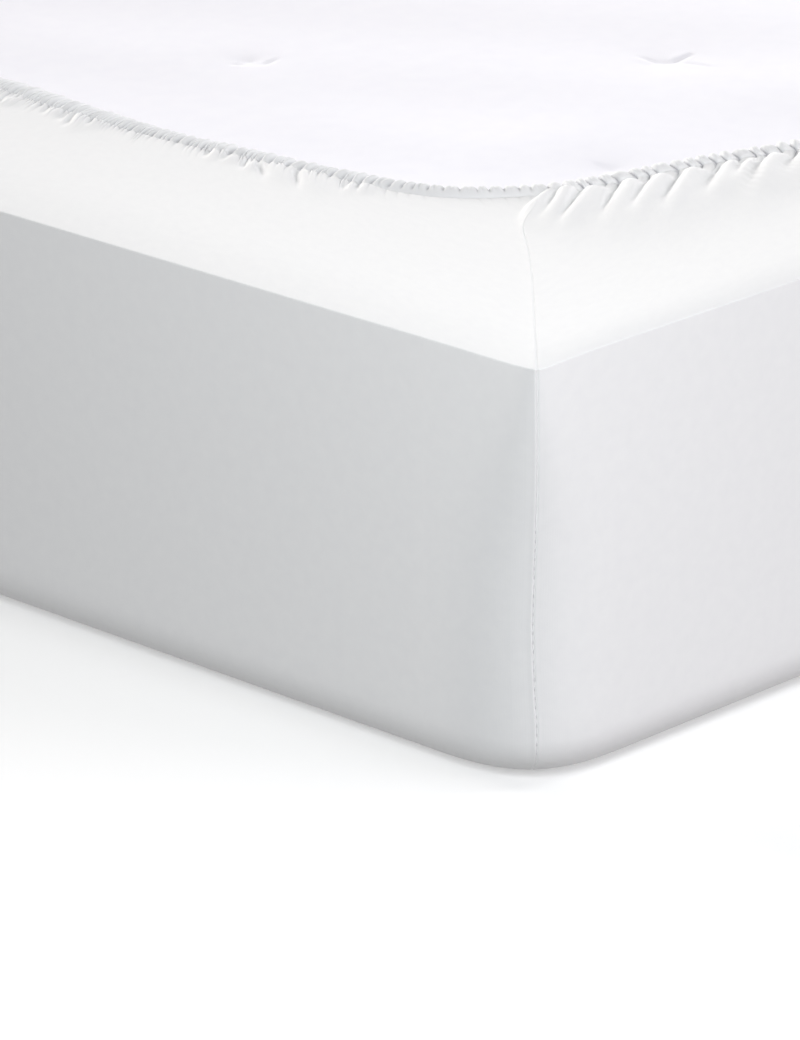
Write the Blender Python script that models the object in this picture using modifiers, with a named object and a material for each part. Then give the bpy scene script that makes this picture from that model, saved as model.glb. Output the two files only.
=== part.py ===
# A fitted sheet on its single mattress, lying with the mattress's underside up.
# Metres, +Z up. The origin is at the centre of the footprint, on the surface it lies on.
# +X runs across the mattress and +Y along it.
import bisect
import math
import random

import bmesh
import bpy
from mathutils import Vector

# Driving sizes
WIDTH = 0.900             # over the sheet's walls, across
LENGTH = 2.000            # over the sheet's walls, along
HEIGHT = 0.200            # to the top of the turned-over band
CLOTH = 0.0016            # thickness of the sheet
GAP = 0.0003              # between cloth and mattress where they touch

# Walls of the sheet
HEEL_RADIUS = 0.022       # wall into the sleeping panel
BROW_RADIUS = 0.008       # wall into the turned-over band
WALL_LEAN = 0.003         # how far the upper edge is drawn in
BROW_DROP = 0.003         # how far the band falls towards its edge
WALL_WAVE = 0.0016        # slow swell of the walls
CORNER_REACH = 0.066      # how far a corner's rounding reaches along each wall
CORNER_SAG = 0.002        # how far the band falls at a corner's tip
FLOOR_POWER = 3.4         # roundness of a corner at the floor, 2 is a quarter circle
BROW_POWER = 6.5          # and at the upper edge, where the seam holds it to a point

WAVE_PACE = 5.3           # how fast the swell changes round the sheet

# Hem
HEM_WANDER = 0.003        # slow wander of the hem along the straight sides
WANDER_PACES = (3.1, 1.7)

# The hem round a corner, and how strongly it is gathered there.
# Columns: share of the way from the long side's straight run (-1) over the seam (0) to
# the short side's (1), distance from the long wall, distance from the short wall, gather.
HEM_CORNER = (
    (-1.00, 0.138, 0.470, 0.8),
    (-0.77, 0.134, 0.400, 1.0),
    (-0.53, 0.132, 0.327, 0.4),
    (-0.31, 0.140, 0.262, 0.9),
    (-0.13, 0.152, 0.207, 0.6),
    (0.00, 0.178, 0.178, 0.4),
    (0.13, 0.206, 0.166, 0.9),
    (0.32, 0.248, 0.152, 1.1),
    (0.52, 0.292, 0.139, 1.1),
    (0.76, 0.348, 0.125, 1.0),
    (1.00, 0.400, 0.118, 0.8),
)
LONG_REACH = 0.470        # from the corner to the straight run on the long side
SHORT_REACH = 0.400       # and on the short side

# The gathered hem and the folds that run out from it, from its inner edge outwards: the
# edge, the crown of the channel around the elastic, its stitch line, and the open folds.
# Columns: distance from the inner edge, height above the band, height of a gather there.
FOLD_ROWS = (
    (0.0000, 0.0014, 0.0008),
    (0.0050, 0.0045, -0.0024),
    (0.0110, 0.0000, 0.0012),
    (0.0240, 0.0000, 0.0026),
)
FAR_FOLD = (0.048, 0.0, 0.0018)   # where only every other fold is left
BAND_MIDDLE = 0.64                # share of the band's width, from the hem
GATHER_STATIONS = 400
UNEVEN = 0.28                     # how far a gather is shifted, in gathers
FINE_STEPS = 4000                 # steps in which the hem's length is measured
ARC_SHARES = (0.0, 0.14, 0.30, 0.43, 0.5, 0.57, 0.70, 0.86)
SHORT_STEPS = 10
LONG_STEPS = 16
SEED = 7

# Mattress
EDGE_GAP = 0.002          # between the mattress's walls and the cloth
BAND_GAP = 0.0028         # between the mattress and the turned-over band
MATTRESS_HALF_WIDTH = WIDTH / 2 - WALL_LEAN - CLOTH - EDGE_GAP
MATTRESS_HALF_LENGTH = LENGTH / 2 - WALL_LEAN - CLOTH - EDGE_GAP
MATTRESS_BASE = CLOTH + GAP
MATTRESS_TOP = HEIGHT - CLOTH - BAND_GAP
MATTRESS_RADIUS = 0.074   # corners in plan
MATTRESS_HEEL = 0.030     # rounding of the edge below
MATTRESS_BROW = 0.018     # and of the edge above
CROWN = 0.0025            # rise of the mattress over the band, inside the hem
CROWN_RUN = 0.060         # the way over which it rises
TUFT_CLEAR = 0.176        # from the walls to the first tufts
TUFT_DEPTH = 0.0045
TUFT_ACROSS = 0.150       # between the rows of tufts
TUFT_ALONG = 0.238        # between the tufts of a row
TUFT_FIRST = (-0.201, -0.817)
TUFT_MARGIN = 0.020       # from the lines that shape the corners

SHEET_COLOUR = (0.86, 0.86, 0.86, 1.0)
MATTRESS_COLOUR = (0.87, 0.86, 0.90, 1.0)
SIDES = 4


def clearScene():
    for item in list(bpy.data.objects):
        bpy.data.objects.remove(item, do_unlink=True)


def makeMaterial(name, colour, roughness):
    material = bpy.data.materials.new(name)
    material.use_nodes = True
    shader = material.node_tree.nodes["Principled BSDF"]
    shader.inputs["Base Color"].default_value = colour
    shader.inputs["Roughness"].default_value = roughness
    shader.inputs["Metallic"].default_value = 0.0
    return material


def makeObject(name, bm, collection, material):
    mesh = bpy.data.meshes.new(name)
    bm.to_mesh(mesh)
    bm.free()
    mesh.materials.append(material)
    item = bpy.data.objects.new(name, mesh)
    collection.objects.link(item)
    return item


# A place round the sheet is one number from 0 to 8. Its whole part tells which stretch it
# is on: an even one is the corner of that side, an odd one is the wall that follows.
# Corner 0 is at -X -Y, and the count runs anticlockwise seen from above.
def cornerSigns(corner):
    return ((-1, -1), (1, -1), (1, 1), (-1, 1))[corner % SIDES]


def wallPoint(place, inset, power):
    stretch = int(place) % (2 * SIDES)
    share = place - math.floor(place)
    corner = stretch // 2
    if stretch % 2 == 0:
        return cornerPoint(corner, share, inset, power)
    start = cornerPoint(corner, 1.0, inset, power)
    end = cornerPoint(corner + 1, 0.0, inset, power)
    return start.lerp(end, share)


def cornerPoint(corner, share, inset, power):
    # Superellipse quarter: share 0 and 1 are the ends of the two walls.
    signX, signY = cornerSigns(corner)
    angle = share * math.pi / 2
    first = 1.0 - max(math.cos(angle), 0.0) ** (2.0 / power)
    second = 1.0 - max(math.sin(angle), 0.0) ** (2.0 / power)
    if corner % 2 == 0:
        fromLong, fromShort = first, second
    else:
        fromLong, fromShort = second, first
    x = signX * (WIDTH / 2 - inset - CORNER_REACH * fromLong)
    y = signY * (LENGTH / 2 - inset - CORNER_REACH * fromShort)
    return Vector((x, y, 0.0))


def distanceFromCorner(place):
    # The nearest corner, and how far along the wall the place is from it: negative on the
    # wall before it, positive on the wall after.
    stretch = int(place) % (2 * SIDES)
    share = place - math.floor(place)
    corner = stretch // 2
    if stretch % 2 == 0:
        return corner, (share - 0.5) * 2 * CORNER_REACH
    wall = WIDTH if corner % 2 == 0 else LENGTH
    run = CORNER_REACH + share * (wall - 2 * CORNER_REACH)
    if run <= wall / 2:
        return corner, run
    return (corner + 1) % SIDES, run - wall


def smoothTable(table, share):
    # A smooth curve through the table's rows, read at a value of the first column.
    keys = [row[0] for row in table]
    upper = min(max(bisect.bisect_right(keys, share), 1), len(table) - 1)
    lower = upper - 1
    before = max(lower - 1, 0)
    after = min(upper + 1, len(table) - 1)
    step = keys[upper] - keys[lower]
    part = (share - keys[lower]) / step
    square = part * part
    cube = square * part
    values = []
    for column in range(1, len(table[0])):
        start = table[lower][column]
        end = table[upper][column]
        startRise = end - table[before][column]
        endRise = table[after][column] - start
        startSlope = startRise / (keys[upper] - keys[before]) * step
        endSlope = endRise / (keys[after] - keys[lower]) * step
        value = (2 * cube - 3 * square + 1) * start + (cube - 2 * square + part) * startSlope
        value += (3 * square - 2 * cube) * end + (cube - square) * endSlope
        values.append(value)
    return values


def hemAt(place):
    # Distances of the hem's inner edge from the long and the short wall, and its gather.
    corner, run = distanceFromCorner(place)
    onLong = (run < 0) == (corner % 2 == 0)
    reach = LONG_REACH if onLong else SHORT_REACH
    if abs(run) < reach:
        share = abs(run) / reach
        return smoothTable(HEM_CORNER, -share if onLong else share)
    if onLong:
        return HEM_CORNER[0][1], abs(run), HEM_CORNER[0][3]
    return abs(run), HEM_CORNER[-1][2], HEM_CORNER[-1][3]


def hemPoint(place):
    # Inner edge of the hem in plan.
    signX, signY = cornerSigns(distanceFromCorner(place)[0])
    fromLong, fromShort, _ = hemAt(place)
    fast, slow = WANDER_PACES
    wander = HEM_WANDER * math.sin(fast * place) * math.sin(slow * place)
    x = signX * (WIDTH / 2 - fromLong - wander)
    y = signY * (LENGTH / 2 - fromShort - wander)
    return Vector((x, y, 0.0))


def wallPlaces():
    places = []
    for corner in range(SIDES):
        steps = SHORT_STEPS if corner % 2 == 0 else LONG_STEPS
        places += [2 * corner + share for share in ARC_SHARES]
        places += [2 * corner + 1 + step / steps for step in range(steps)]
    return places


def gatherPlaces(rng):
    # Places spaced evenly along the hem and then shifted a little, so gathers are uneven.
    marks = [2 * SIDES * step / FINE_STEPS for step in range(FINE_STEPS + 1)]
    lengths = [0.0]
    for first, second in zip(marks, marks[1:]):
        lengths.append(lengths[-1] + (hemPoint(second) - hemPoint(first)).length)
    spacing = lengths[-1] / GATHER_STATIONS
    places = []
    for step in range(GATHER_STATIONS):
        wanted = (step + 0.5 + rng.uniform(-UNEVEN, UNEVEN)) * spacing
        upper = bisect.bisect_left(lengths, wanted)
        part = (wanted - lengths[upper - 1]) / (lengths[upper] - lengths[upper - 1])
        places.append(marks[upper - 1] + part * (marks[upper] - marks[upper - 1]))
    return places


def cornerNearness(place):
    # 1 at a corner's seam, 0 from CORNER_REACH on.
    run = abs(distanceFromCorner(place)[1])
    return max(0.0, 1.0 - run / CORNER_REACH) ** 2


def wallRing(places, height, inset, power):
    # One level of the walls, with the slow swell that fades out at the corners.
    points = []
    swell = WALL_WAVE * math.sin(math.pi * height / HEIGHT)
    for place in places:
        point = wallPoint(place, inset, power)
        away = min(abs(distanceFromCorner(place)[1]) / LONG_REACH, 1.0)
        wave = swell * away * (0.5 - 0.5 * math.sin(WAVE_PACE * place))
        if abs(point.x) / WIDTH > abs(point.y) / LENGTH:
            point.x -= math.copysign(wave, point.x)
        else:
            point.y -= math.copysign(wave, point.y)
        point.z = height
        points.append(point)
    return points


def browRing(places, height, inset, power):
    # The upper edge is drawn in between the corners and falls at their tips.
    points = []
    for place in places:
        near = cornerNearness(place)
        point = wallPoint(place, inset + WALL_LEAN * (1.0 - near), power)
        point.z = height - CORNER_SAG * near
        points.append(point)
    return points


def wallRings(places):
    rings = []
    for degrees in (0, 26, 50, 72, 90):
        angle = math.radians(degrees)
        height = HEEL_RADIUS * (1.0 - math.cos(angle))
        inset = HEEL_RADIUS * (1.0 - math.sin(angle))
        rings.append(wallRing(places, height, inset, FLOOR_POWER))
    for share in (0.42, 0.72):
        power = FLOOR_POWER + (BROW_POWER - FLOOR_POWER) * share ** 3
        rings.append(wallRing(places, share * HEIGHT, WALL_LEAN * share ** 3, power))
    brow = HEIGHT - BROW_DROP
    for degrees in (0, 45, 90):
        angle = math.radians(degrees)
        height = brow - BROW_RADIUS * (1.0 - math.sin(angle))
        inset = BROW_RADIUS * (1.0 - math.cos(angle))
        rings.append(browRing(places, height, inset, BROW_POWER))
    return rings


def bandPoint(place, fromRim, rise):
    # A point of the turned-over band, so far out from the hem's inner edge.
    edge = wallPoint(place, BROW_RADIUS + WALL_LEAN, BROW_POWER)
    rim = hemPoint(place)
    outward = edge - rim
    point = rim + outward.normalized() * fromRim
    fall = BROW_DROP * (fromRim / outward.length) ** 3
    point.z = HEIGHT - fall + rise
    return point


def bandMiddle(place):
    edge = wallPoint(place, BROW_RADIUS + WALL_LEAN, BROW_POWER)
    return bandPoint(place, BAND_MIDDLE * (edge - hemPoint(place)).length, 0.0)


def foldRing(places, gathers, foldRow):
    # One line of the folds, parallel to the hem.
    distance, height, gatherHeight = foldRow
    points = []
    for place, gather in zip(places, gathers):
        points.append(bandPoint(place, distance, height + gatherHeight * gather))
    return places, points


def foldRings(rng):
    # From the far ends of the folds to the hem's inner edge. Every other place is a ridge.
    places = gatherPlaces(rng)
    gathers = [hemAt(place)[2] * rng.uniform(0.55, 1.0) for place in places]
    gathers[::2] = [0.0] * (GATHER_STATIONS // 2)
    farGathers = gathers[1::2]
    farGathers[::2] = [0.0] * (GATHER_STATIONS // 4)
    rings = [foldRing(places[1::2], farGathers, FAR_FOLD)]
    rings += [foldRing(places, gathers, foldRow) for foldRow in reversed(FOLD_ROWS)]
    return rings


def joinRings(bm, lower, upper):
    # Triangles between two rings whose points lie at different places round the sheet.
    lowerPlaces, lowerVerts = lower
    upperPlaces, upperVerts = upper
    lowerNext = list(lowerPlaces[1:]) + [lowerPlaces[0] + 8.0]
    upperNext = list(upperPlaces[1:]) + [upperPlaces[0] + 8.0]
    low = 0
    high = 0
    while low < len(lowerVerts) or high < len(upperVerts):
        lowStep = low < len(lowerVerts)
        if lowStep and high < len(upperVerts):
            lowStep = lowerNext[low] <= upperNext[high]
        first = lowerVerts[low % len(lowerVerts)]
        second = upperVerts[high % len(upperVerts)]
        if lowStep:
            bm.faces.new((first, lowerVerts[(low + 1) % len(lowerVerts)], second))
            low += 1
        else:
            bm.faces.new((first, upperVerts[(high + 1) % len(upperVerts)], second))
            high += 1


def buildSheet(collection, material):
    places = wallPlaces()
    rings = [(places, ring) for ring in wallRings(places)]
    rings.append((places, [bandMiddle(place) for place in places]))
    rings += foldRings(random.Random(SEED))
    bm = bmesh.new()
    vertRings = []
    for ringPlaces, points in rings:
        vertRings.append((ringPlaces, [bm.verts.new(point) for point in points]))
    bm.faces.new(list(reversed(vertRings[0][1])))
    for lower, upper in zip(vertRings, vertRings[1:]):
        joinRings(bm, lower, upper)
    bmesh.ops.triangulate(bm, faces=[face for face in bm.faces if len(face.verts) > 3])
    sheet = makeObject("fitted_sheet", bm, collection, material)
    solidify = sheet.modifiers.new("Cloth", "SOLIDIFY")
    solidify.thickness = CLOTH
    solidify.offset = -1.0
    solidify.use_even_offset = True
    return sheet


def roundedCorner(x, y, inset):
    # Turns the square corner of a grid into a round one.
    centreX = MATTRESS_HALF_WIDTH - MATTRESS_RADIUS
    centreY = MATTRESS_HALF_LENGTH - MATTRESS_RADIUS
    overX = abs(x) - centreX
    overY = abs(y) - centreY
    if overX <= 0 or overY <= 0:
        return x, y
    shrink = max(overX, overY) / math.hypot(overX, overY)
    roundX = centreX + overX * shrink
    roundY = centreY + overY * shrink
    return math.copysign(roundX, x), math.copysign(roundY, y)


def tuftLines(half, first, pitch):
    # The lines on which the tufts sit, clear of the rounded corners.
    lines = []
    line = first
    while line < half - MATTRESS_RADIUS - TUFT_MARGIN:
        lines.append(line)
        line += pitch
    return lines


def gridLines(half, inset, tufts):
    # The tufts' lines between the lines that shape the corners, for an outline this far in.
    radius = MATTRESS_RADIUS - inset
    quarter = radius * (1.0 - math.tan(math.radians(22.5)))
    edge = half - inset
    low = [-edge, -edge + quarter, -edge + radius]
    return low + tufts + [-value for value in reversed(low)]


def outlineKeys(lastColumn, lastRow):
    keys = [(column, 0) for column in range(lastColumn)]
    keys += [(lastColumn, row) for row in range(lastRow)]
    keys += [(column, lastRow) for column in range(lastColumn, 0, -1)]
    keys += [(0, row) for row in range(lastRow, 0, -1)]
    return keys


def topHeight(x, y, isTuft):
    # Falls to the walls and corners under the band, rises a little inside the hem, and is
    # drawn down at the tufts.
    fromLong = WIDTH / 2 - abs(x)
    fromShort = LENGTH / 2 - abs(y)
    fromWall = min(fromLong, fromShort)
    if fromWall < TUFT_CLEAR:
        nearTip = max(0.0, 1.0 - max(fromLong, fromShort) / (2 * CORNER_REACH))
        nearWall = 1.0 - fromWall / TUFT_CLEAR
        return MATTRESS_TOP - BROW_DROP * nearWall - CORNER_SAG * nearTip
    rise = (BAND_GAP + CROWN) * min((fromWall - TUFT_CLEAR) / CROWN_RUN, 1.0)
    return MATTRESS_TOP + rise - (TUFT_DEPTH if isTuft else 0.0)


def buildMattress(collection, material):
    tuftsAcross = tuftLines(MATTRESS_HALF_WIDTH, TUFT_FIRST[0], TUFT_ACROSS)
    tuftsAlong = tuftLines(MATTRESS_HALF_LENGTH, TUFT_FIRST[1], TUFT_ALONG / 2)
    lastColumn = len(tuftsAcross) + 5
    lastRow = len(tuftsAlong) + 5
    keys = outlineKeys(lastColumn, lastRow)

    def spots(inset):
        across = gridLines(MATTRESS_HALF_WIDTH, inset, tuftsAcross)
        along = gridLines(MATTRESS_HALF_LENGTH, inset, tuftsAlong)
        grid = {}
        for row, y in enumerate(along):
            for column, x in enumerate(across):
                grid[column, row] = roundedCorner(x, y, inset)
        return grid

    bm = bmesh.new()
    rings = []
    for inset, height in mattressSections():
        grid = spots(inset)
        rings.append([bm.verts.new((*grid[key], height)) for key in keys])
    top = dict(zip(keys, rings[-1]))
    for key, (x, y) in spots(MATTRESS_BROW).items():
        if key not in top:
            top[key] = bm.verts.new((x, y, topHeight(x, y, (key[0] + key[1]) % 2 == 0)))
    bm.faces.new(list(reversed(rings[0])))
    for lower, upper in zip(rings, rings[1:]):
        for index in range(len(keys)):
            after = (index + 1) % len(keys)
            bm.faces.new((lower[index], lower[after], upper[after], upper[index]))
    for row in range(lastRow):
        for column in range(lastColumn):
            square = ((column, row), (column + 1, row), (column + 1, row + 1), (column, row + 1))
            bm.faces.new([top[key] for key in square])
    bmesh.ops.triangulate(bm, faces=bm.faces[:])
    return makeObject("mattress", bm, collection, material)


def mattressSections():
    # Inset and height of each ring, from the flat base round the heel and the brow.
    sections = []
    for degrees in (0, 30, 60, 90):
        angle = math.radians(degrees)
        inset = MATTRESS_HEEL * (1.0 - math.sin(angle))
        sections.append((inset, MATTRESS_BASE + MATTRESS_HEEL * (1.0 - math.cos(angle))))
    crest = MATTRESS_TOP - BROW_DROP - EDGE_GAP
    for degrees in (0, 45, 90):
        angle = math.radians(degrees)
        inset = MATTRESS_BROW * (1.0 - math.cos(angle))
        sections.append((inset, crest - MATTRESS_BROW * (1.0 - math.sin(angle))))
    return sections


def main():
    clearScene()
    collection = bpy.data.collections.new("fitted_sheet_on_mattress")
    bpy.context.scene.collection.children.link(collection)
    jersey = makeMaterial("white_jersey", SHEET_COLOUR, 0.85)
    ticking = makeMaterial("white_ticking", MATTRESS_COLOUR, 0.80)
    buildSheet(collection, jersey)
    buildMattress(collection, ticking)


main()
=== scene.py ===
# A white jersey fitted sheet, stretched over a single mattress that lies underside up.
# Metres, +Z up. +X runs across the mattress and +Y along it, as in the CAD.
import bisect
import math
import random

import bmesh
import bpy
import numpy as np
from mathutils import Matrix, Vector


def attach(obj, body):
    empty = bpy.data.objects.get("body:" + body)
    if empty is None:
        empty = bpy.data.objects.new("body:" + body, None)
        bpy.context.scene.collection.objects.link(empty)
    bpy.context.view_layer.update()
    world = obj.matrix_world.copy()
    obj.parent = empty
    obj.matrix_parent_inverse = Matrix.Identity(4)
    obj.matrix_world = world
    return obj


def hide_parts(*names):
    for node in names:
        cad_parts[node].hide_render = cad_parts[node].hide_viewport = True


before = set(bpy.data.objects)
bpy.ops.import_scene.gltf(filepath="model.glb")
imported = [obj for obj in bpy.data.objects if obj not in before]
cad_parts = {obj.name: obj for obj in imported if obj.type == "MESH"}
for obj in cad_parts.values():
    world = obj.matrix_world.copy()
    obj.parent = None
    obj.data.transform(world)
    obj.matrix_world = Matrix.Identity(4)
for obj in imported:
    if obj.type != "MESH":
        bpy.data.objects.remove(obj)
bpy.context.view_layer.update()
print("frame loaded:", sorted(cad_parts))


def addObject(name, data):
    made = bpy.data.objects.new(name, data)
    bpy.context.scene.collection.objects.link(made)
    return made


def smoothAll(mesh):
    mesh.polygons.foreach_set("use_smooth", np.ones(len(mesh.polygons), bool))


# Camera: the photograph's view of one corner, from a long lens
cameraView = {
    "place": (-2.2703, -2.6590, 1.0234),
    "lens": 213.9,
    "down": 19.9304,          # degrees below level
    "turn": -46.3108,         # degrees about Z
}

cameraData = bpy.data.cameras.new("cornerView")
cameraData.lens = cameraView["lens"]
cameraData.sensor_width = 36.0
cameraData.clip_end = 200.0
camera = addObject("cornerView", cameraData)
camera.location = cameraView["place"]
camera.rotation_euler = (math.radians(90.0 - cameraView["down"]), 0.0, math.radians(cameraView["turn"]))
bpy.context.scene.camera = camera


# Finishes
def linearColour(hexCode):
    values = []
    for start in (0, 2, 4):
        share = int(hexCode[start:start + 2], 16) / 255
        values.append(share / 12.92 if share <= 0.04045 else ((share + 0.055) / 1.055) ** 2.4)
    return (*values, 1.0)


def joinTo(tree, source, outSocket, target, inSocket):
    tree.links.new(source.outputs[outSocket], target.inputs[inSocket])


def addNode(tree, kind, links=(), **settings):
    # One node with its settings, and (from node, from socket, to socket) links.
    node = tree.nodes.new(kind)
    for name, value in settings.items():
        if name in node.inputs:
            node.inputs[name].default_value = value
        else:
            setattr(node, name, value)
    for source, outSocket, inSocket in links:
        joinTo(tree, source, outSocket, node, inSocket)
    return node


def newMaterial(name, colour, roughness, sheen=0.0):
    material = bpy.data.materials.new(name)
    material.use_nodes = True
    shader = material.node_tree.nodes["Principled BSDF"]
    settings = {"Base Color": linearColour(colour), "Roughness": roughness, "Metallic": 0.0,
                "IOR": 1.46, "Specular IOR Level": 0.25, "Sheen Weight": sheen, "Sheen Roughness": 0.5}
    for socket, value in settings.items():
        shader.inputs[socket].default_value = value
    return material, shader


def mixTints(tree, share, first, second):
    # Two colours mixed by a node's Fac. The first can be an earlier mix.
    mix = addNode(tree, "ShaderNodeMix", [(share, "Fac", 0)], data_type="RGBA")
    if isinstance(first, str):
        mix.inputs[6].default_value = linearColour(first)
    else:
        joinTo(tree, first, 2, mix, 6)
    mix.inputs[7].default_value = linearColour(second)
    return mix


def addBump(tree, height, strength, depth, shader):
    bump = addNode(tree, "ShaderNodeBump", [(height, 0, "Height")], Strength=strength, Distance=depth)
    joinTo(tree, bump, "Normal", shader, "Normal")


bandLength = 0.31416          # of one band of the wave texture, at scale 1


jersey = {
    "colour": "EFEFEF",       # bleached cotton
    "shade": "E9E9EA",        # where the knit is a little denser
    "paintedShadeColour": "BCBCC0",         # painted shade down between the gathers, where the cloth lies doubled and drawn together
    "wale": 0.0011,           # ribs of the knit, 0.7 mm on the real cloth, drawn coarser to show
    "mottle": 0.007,          # cloudy unevenness of the yarn
    "roughness": 0.86,
}


def makeJersey():
    # Cotton jersey: fine ribs along the cloth, matt and a little fuzzy, slightly cloudy white, with
    # painted shade between the hem's gathers.
    material, shader = newMaterial("whiteCottonJersey", jersey["colour"], jersey["roughness"], 0.12)
    tree = material.node_tree
    place = addNode(tree, "ShaderNodeUVMap", uv_map="cloth")
    clouds = addNode(tree, "ShaderNodeTexNoise", [(place, "UV", "Vector")],
                     Scale=1.0 / jersey["mottle"], Detail=3.0, Roughness=0.6)
    tint = mixTints(tree, clouds, jersey["colour"], jersey["shade"])
    # painted shade: each point's share mixes the cloth towards a grey in the hem's valleys
    paintedShadeShare = addNode(tree, "ShaderNodeAttribute", attribute_name="paintedShadeShare")
    paintedShadeMix = mixTints(tree, paintedShadeShare, tint, jersey["paintedShadeColour"])
    joinTo(tree, paintedShadeMix, 2, shader, "Base Color")
    ribs = addNode(tree, "ShaderNodeTexWave", [(place, "UV", "Vector")], wave_type="BANDS",
                   bands_direction="X", Scale=bandLength / jersey["wale"], Distortion=0.6, Detail=1.0)
    fuzz = addNode(tree, "ShaderNodeTexNoise", [(place, "UV", "Vector")],
                   Scale=1.0 / (1.6 * jersey["wale"]), Detail=2.0)
    height = addNode(tree, "ShaderNodeMath", [(ribs, "Fac", 0), (fuzz, "Fac", 1)], operation="ADD")
    addBump(tree, height, 0.06, 0.00012, shader)
    return material


def makeThread():
    # Spun polyester sewing thread: a little greyer than the cloth and slightly silky.
    material, shader = newMaterial("spunSewingThread", "D9D9DB", 0.6)
    tree = material.node_tree
    place = addNode(tree, "ShaderNodeTexCoord")
    twist = addNode(tree, "ShaderNodeTexNoise", [(place, "Object", "Vector")], Scale=900.0)
    addBump(tree, twist, 0.3, 0.0001, shader)
    return material


ticking = {
    "colour": "F8F7FC",       # white with a cool, lavender cast
    "shade": "F3F2F9",
    "weave": 0.0012,          # 0.5 mm on the real cloth, drawn coarser to show
    "roughness": 0.8,
}


def makeTicking():
    # Brushed cotton ticking over thin wadding: plain weave, matt, slightly cool white.
    material, shader = newMaterial("brushedCottonTicking", ticking["colour"], ticking["roughness"], 0.1)
    tree = material.node_tree
    place = addNode(tree, "ShaderNodeTexCoord")
    clouds = addNode(tree, "ShaderNodeTexNoise", [(place, "Object", "Vector")], Scale=90.0, Detail=3.0)
    tint = mixTints(tree, clouds, ticking["colour"], ticking["shade"])
    joinTo(tree, tint, 2, shader, "Base Color")
    warp, weft = (addNode(tree, "ShaderNodeTexWave", [(place, "Object", "Vector")], wave_type="BANDS",
                          bands_direction=way, Scale=bandLength / ticking["weave"], Distortion=0.4)
                  for way in "XY")
    cross = addNode(tree, "ShaderNodeMath", [(warp, "Fac", 0), (weft, "Fac", 1)], operation="MULTIPLY")
    addBump(tree, cross, 0.3, 0.0001, shader)
    return material


jerseyFinish = makeJersey()
threadFinish = makeThread()
tickingFinish = makeTicking()
print("finishes made")


# The sheet, on the same outlines as its solid
sheet = {
    "width": 0.900,
    "length": 2.000,
    "height": 0.200,
    "heel": 0.022,            # radius from the walls into the sleeping panel
    "brow": 0.0006,           # radius from the walls into the turned-over band
    "browStart": 72,          # degrees of that rounding where it takes over from the roll
    "lean": 0.001,            # how far the upper edge is drawn in
    "fall": 0.0003,           # how far the band falls on its way out
    # how far it then rolls down before the edge, and over what width, by side
    "longRoll": (0.0030, 0.048),
    "shortRoll": (0.0017, 0.024),
    "swell": 0.0016,          # how far the walls give way at half height, in slow waves
    "swellPace": 5.3,         # of those waves, in radians for each stretch
    "cornerReach": 0.066,     # how far from the walls a corner's rounding starts
    "cornerSag": 0.0006,      # how much lower the upper edge lies at a corner
    # powers of the corners' rounding, which is tighter the higher it is
    "floorPower": 3.4,
    "browPower": 26.0,
    "powerRise": 6.0,         # how late on the way up the corners turn tight
    "bodyEvery": 4,           # the body has one in four of the hem's columns of points,
    "bodyNear": 0.012,        # and all of them this close to a corner seam
    "panelEvery": 24,         # the sleeping panel's middle has one in 24 of those
    "panelShrink": (0.80, 0.90, 0.0),
}

# The hem round a corner. Columns: share of the way from the long side's straight run (-1)
# over the seam (0) to the short side's (1), distance from the long wall, distance from the
# short wall, strength of the gathers, width of one gather, slant of the gathers in the
# channel and past the stitches (both towards the corner), distance of the stitches from the
# inner edge, height of the crown over the elastic, how far down the channel the gathers
# reach (1 is the stitches), share of the fine pleats in a gather's height.
hemCorner = (
    (-1.00, 0.1435, 0.4700, 1.40, 0.0050, 0.00, 0.45, 0.0110, 0.0014, 1.2, 0.75),
    (-0.77, 0.1372, 0.4000, 1.45, 0.0050, 0.00, 0.50, 0.0110, 0.0014, 1.2, 0.75),
    (-0.61, 0.1361, 0.3510, 1.00, 0.0052, 0.10, 0.50, 0.0100, 0.0009, 0.8, 0.75),
    (-0.47, 0.1391, 0.3090, 1.45, 0.0056, -0.02, 0.50, 0.0078, 0.0013, 1.2, 0.70),
    (-0.31, 0.1442, 0.2593, 1.35, 0.0062, -0.12, 0.50, 0.0078, 0.0015, 1.1, 0.42),
    (-0.13, 0.1554, 0.2031, 1.00, 0.0064, -0.10, 0.40, 0.0102, 0.0027, 0.4, 0.35),
    (0.00, 0.1870, 0.1730, 0.95, 0.0068, 0.00, 0.10, 0.0100, 0.0024, 0.5, 0.30),
    (0.13, 0.2180, 0.1629, 1.10, 0.0074, 0.00, 0.90, 0.0085, 0.0018, 1.1, 0.25),
    (0.32, 0.2520, 0.1553, 1.15, 0.0077, 0.00, 0.95, 0.0085, 0.0017, 1.2, 0.25),
    (0.52, 0.2920, 0.1448, 1.15, 0.0077, 0.00, 0.95, 0.0085, 0.0017, 1.2, 0.25),
    (0.76, 0.3480, 0.1275, 1.10, 0.0076, 0.00, 0.90, 0.0085, 0.0017, 1.2, 0.28),
    (1.00, 0.4000, 0.1200, 1.00, 0.0074, 0.00, 0.70, 0.0088, 0.0016, 1.2, 0.30),
)
hemColumns = ("fromLong", "fromShort", "force", "pitch", "slant", "drag", "stitchAt", "crown",
              "spread", "fine")
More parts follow.
